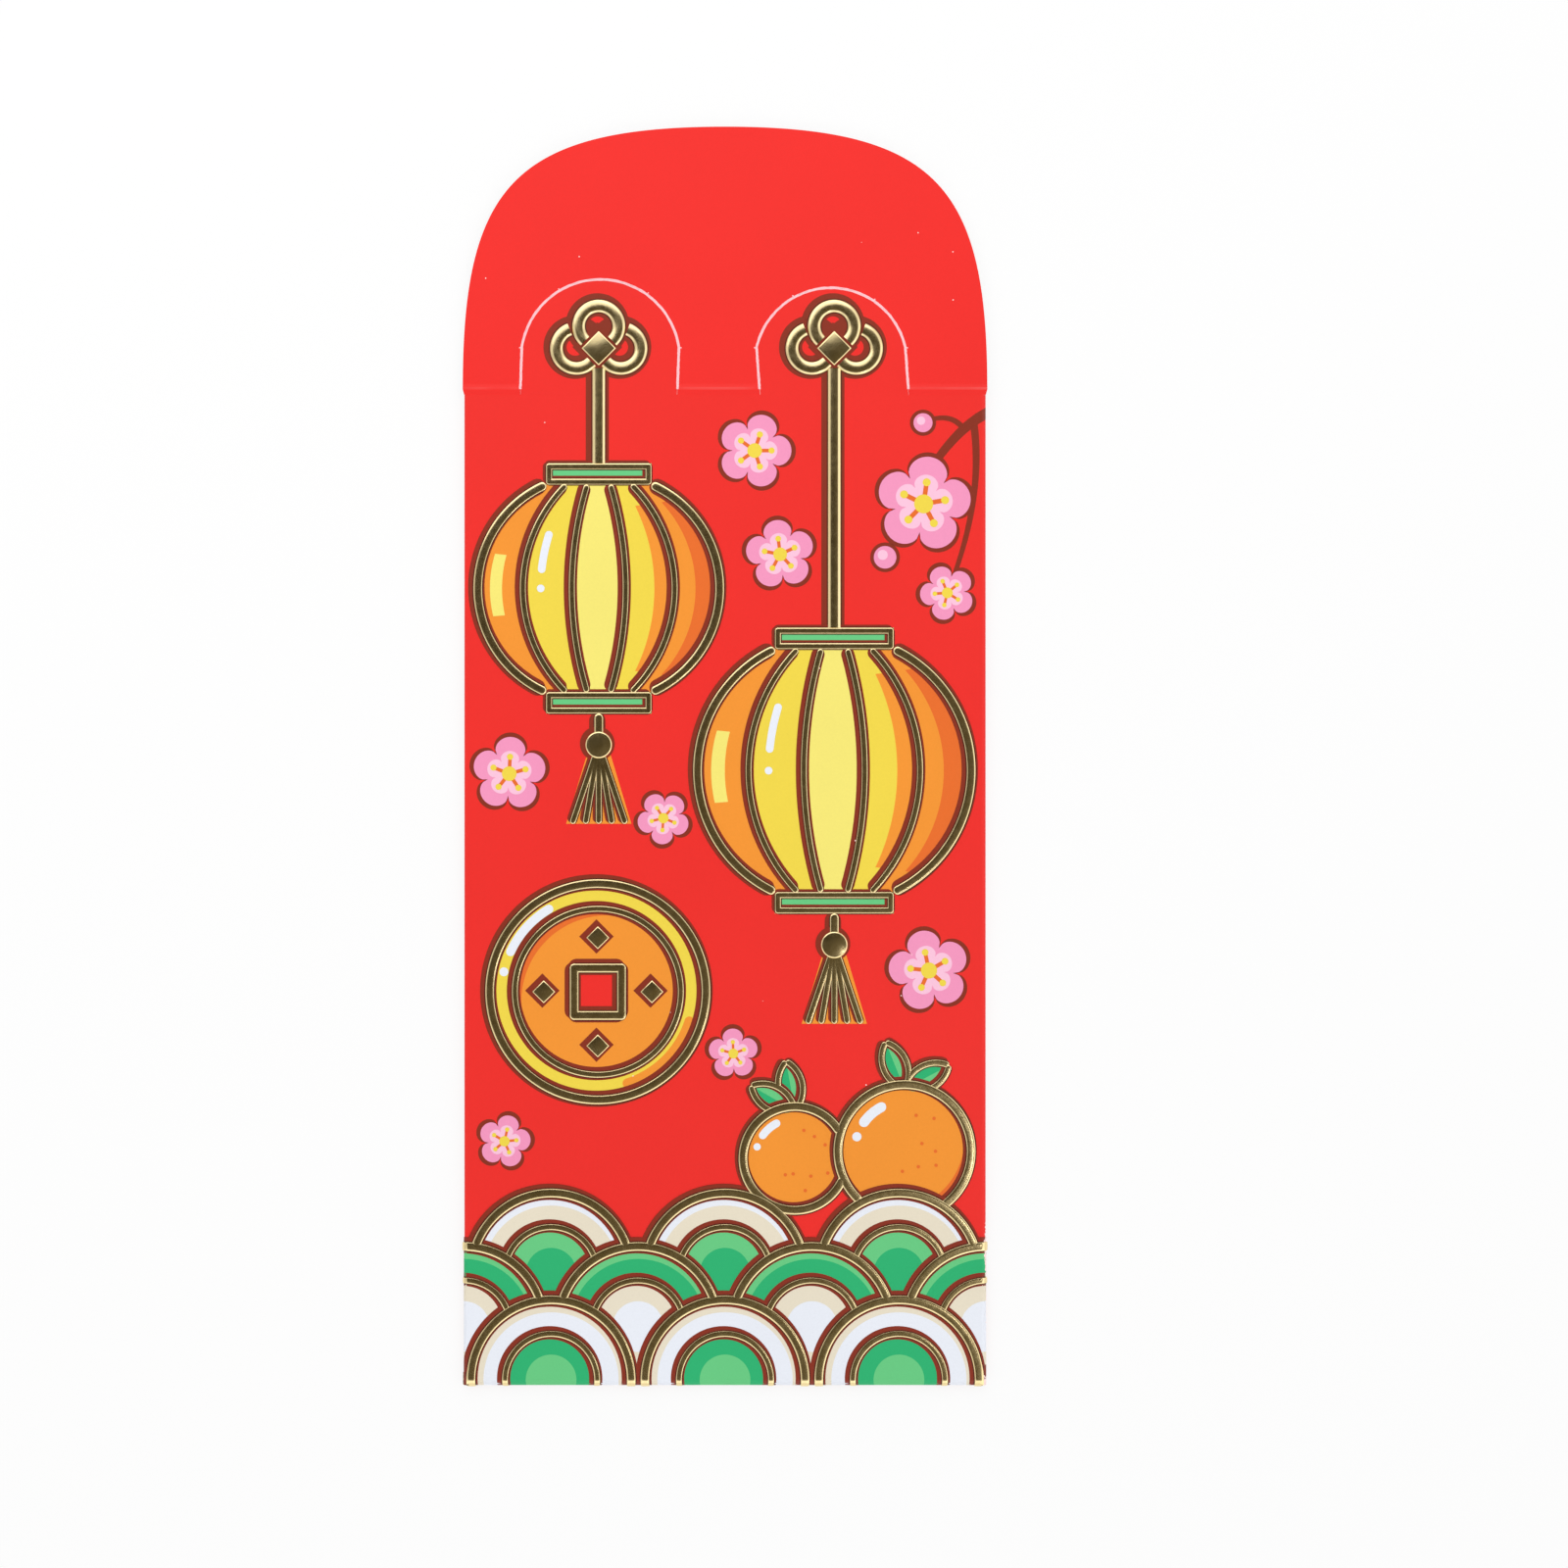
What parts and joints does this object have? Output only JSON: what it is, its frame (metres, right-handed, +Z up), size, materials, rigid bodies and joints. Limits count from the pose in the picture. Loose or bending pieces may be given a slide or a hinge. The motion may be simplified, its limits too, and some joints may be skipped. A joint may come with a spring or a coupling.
{
  "type": "red envelope",
  "caption": "Flat red card gift envelope lying open: side-seamed pocket, rounded flap on a double-scored crease, arched pop-up tabs cut in the flap, gold foil lines on the front.",
  "frame": {"origin": "middle of the open envelope's outline, on the surface that it lies on", "axes": "+X across the envelope to the right, +Y from the bottom fold to the tip of the open flap, +Z up out of the printed front"},
  "size_m": [0.0884, 0.2124, 0.002],
  "materials": {
    "red_card": "satin red print on white card",
    "dried_glue": "thin clear film",
    "gold_foil": "gold hot-stamped metal foil over embossed card"
  },
  "bodies": {
    "envelope": {"front_panel": "red_card", "left_side_fold": "red_card", "right_side_fold": "red_card", "bottom_fold": "red_card", "seam_tab": "red_card", "back_panel": "red_card", "bottom_flap": "red_card", "seam_glue": "dried_glue", "bottom_flap_glue": "dried_glue", "left_cord_foil": "gold_foil", "right_cord_foil": "gold_foil", "left_lantern_foil": "gold_foil", "right_lantern_foil": "gold_foil", "coin_foil": "gold_foil", "mandarin_foil": "gold_foil", "wave_foil": "gold_foil"},
    "crease": {"flap_crease_left": "red_card", "flap_crease_middle": "red_card", "flap_crease_right": "red_card"},
    "flap": {"top_flap": "red_card"},
    "left_tab": {"left_pop_up_tab": "red_card", "left_knot_foil": "gold_foil"},
    "right_tab": {"right_pop_up_tab": "red_card", "right_knot_foil": "gold_foil"}
  },
  "joints": [
    {"name": "crease_fold", "type": "hinge", "parent": "envelope", "child": "crease", "pos_m": [0, 0.0611, 0.00165], "axis": [-1, 0, 0], "range_deg": [0, 90]},
    {"name": "flap_fold", "type": "hinge", "parent": "crease", "child": "flap", "pos_m": [0, 0.0626, 0.00165], "axis": [-1, 0, 0], "range_deg": [0, 90]},
    {"name": "left_tab_bend", "type": "hinge", "parent": "envelope", "child": "left_tab", "pos_m": [0, 0.0611, 0.00165], "axis": [-1, 0, 0], "range_deg": [-60, 60], "stiffness_Nm_per_rad": 0.0005},
    {"name": "right_tab_bend", "type": "hinge", "parent": "envelope", "child": "right_tab", "pos_m": [0, 0.0611, 0.00165], "axis": [-1, 0, 0], "range_deg": [-60, 60], "stiffness_Nm_per_rad": 0.0005}
  ],
  "couplings": [
    {"joint": "crease_fold", "follows": "flap_fold", "ratio": 1}
  ]
}
